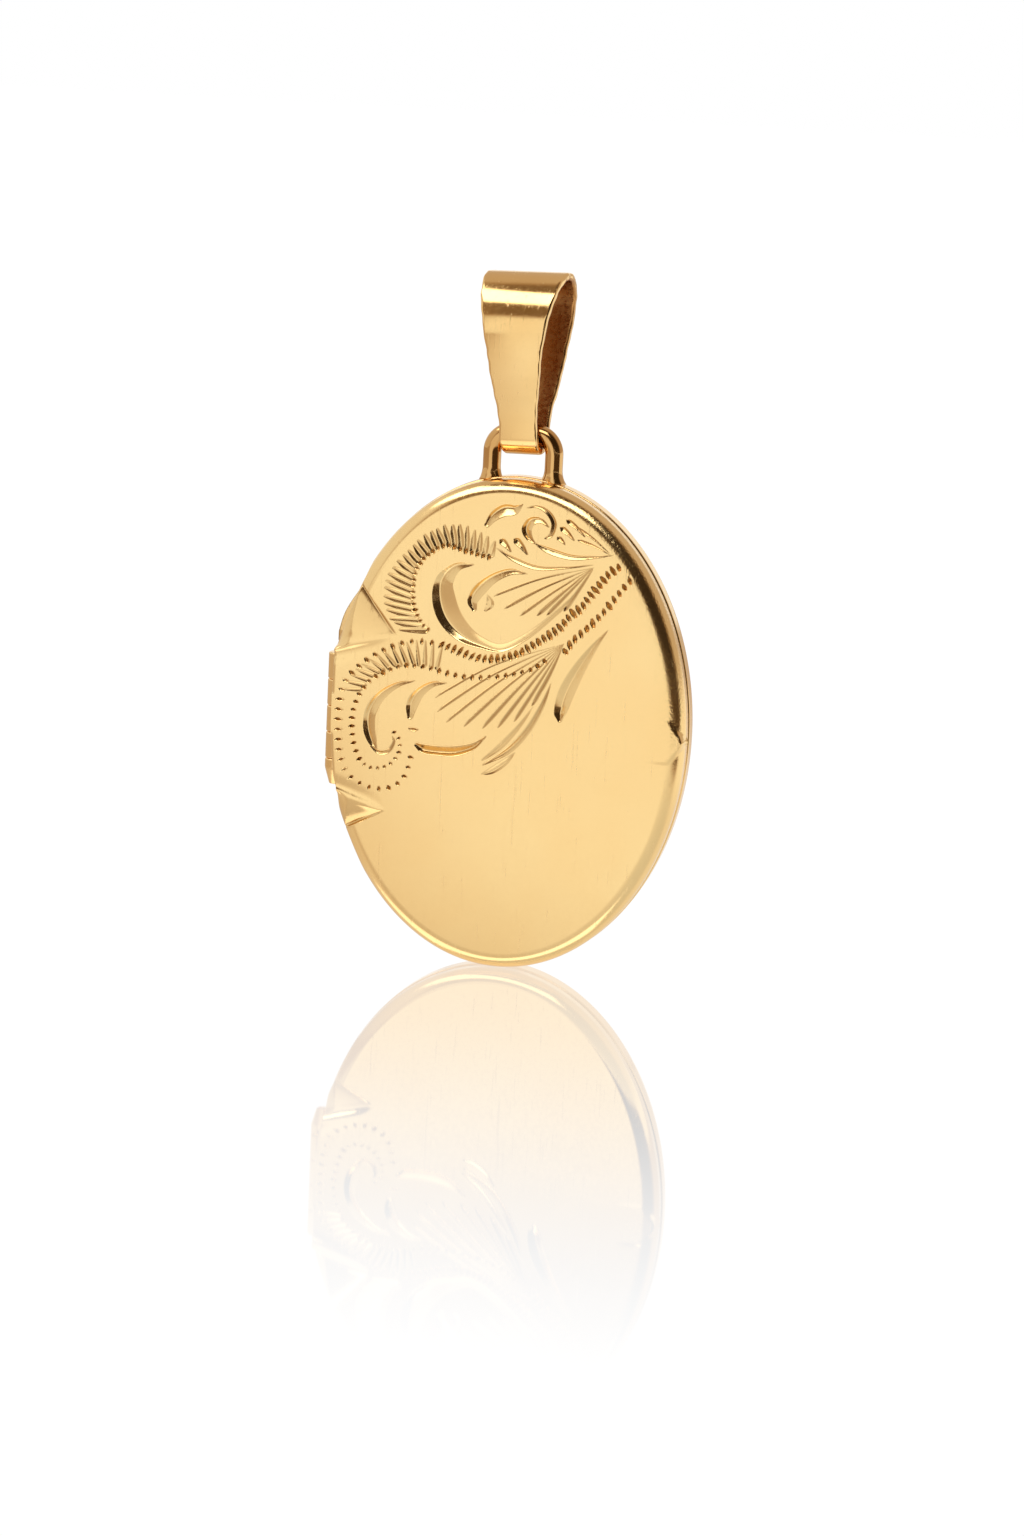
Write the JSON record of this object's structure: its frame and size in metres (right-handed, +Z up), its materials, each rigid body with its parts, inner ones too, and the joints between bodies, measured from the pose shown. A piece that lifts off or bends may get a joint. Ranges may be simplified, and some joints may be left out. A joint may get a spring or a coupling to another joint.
{
  "type": "locket",
  "caption": "Oval hinged locket with an engraved front, photo frames inside, and a folded strip bail on a wire loop.",
  "frame": {"origin": "middle of the oval on the flat back face", "axes": "+Z up towards the bail, -Y out of the engraved front, +X towards the thumb tip, hinge on the -X side"},
  "size_m": [0.0195, 0.005, 0.0366],
  "materials": {
    "engraved_gold": "polished yellow gold with fine wear scratches, hand engraved scrolls",
    "polished_gold": "polished yellow gold with fine wear scratches",
    "inner_gold": "satin yellow gold",
    "window": "clear thin plastic sheet",
    "photo_paper": "matt photographic paper, plain"
  },
  "bodies": {
    "bail": {"bail": "polished_gold"},
    "back_half": {"back_cover": "polished_gold", "back_seat_plate": "inner_gold", "snap_lip": "inner_gold", "bail_loop": "polished_gold", "back_photo_frame": "inner_gold", "back_window": "window", "back_photo": "photo_paper", "back_knuckle_bottom": "polished_gold", "back_knuckle_middle": "polished_gold", "back_knuckle_top": "polished_gold", "hinge_pin": "polished_gold"},
    "front_half": {"front_cover": "engraved_gold", "front_seat_plate": "inner_gold", "front_photo_frame": "inner_gold", "front_window": "window", "front_photo": "photo_paper", "front_knuckle_upper": "polished_gold", "front_knuckle_lower": "polished_gold"}
  },
  "joints": [
    {"name": "bail_swing", "type": "hinge", "parent": "bail", "child": "back_half", "pos_m": [0, -0.0011, 0.01525], "axis": [1, 0, 0], "range_deg": [-110, 110]},
    {"name": "cover_hinge", "type": "hinge", "parent": "back_half", "child": "front_half", "pos_m": [-0.00922, -0.0016, -0.0005], "axis": [0, 0, -1], "range_deg": [0, 150]}
  ]
}
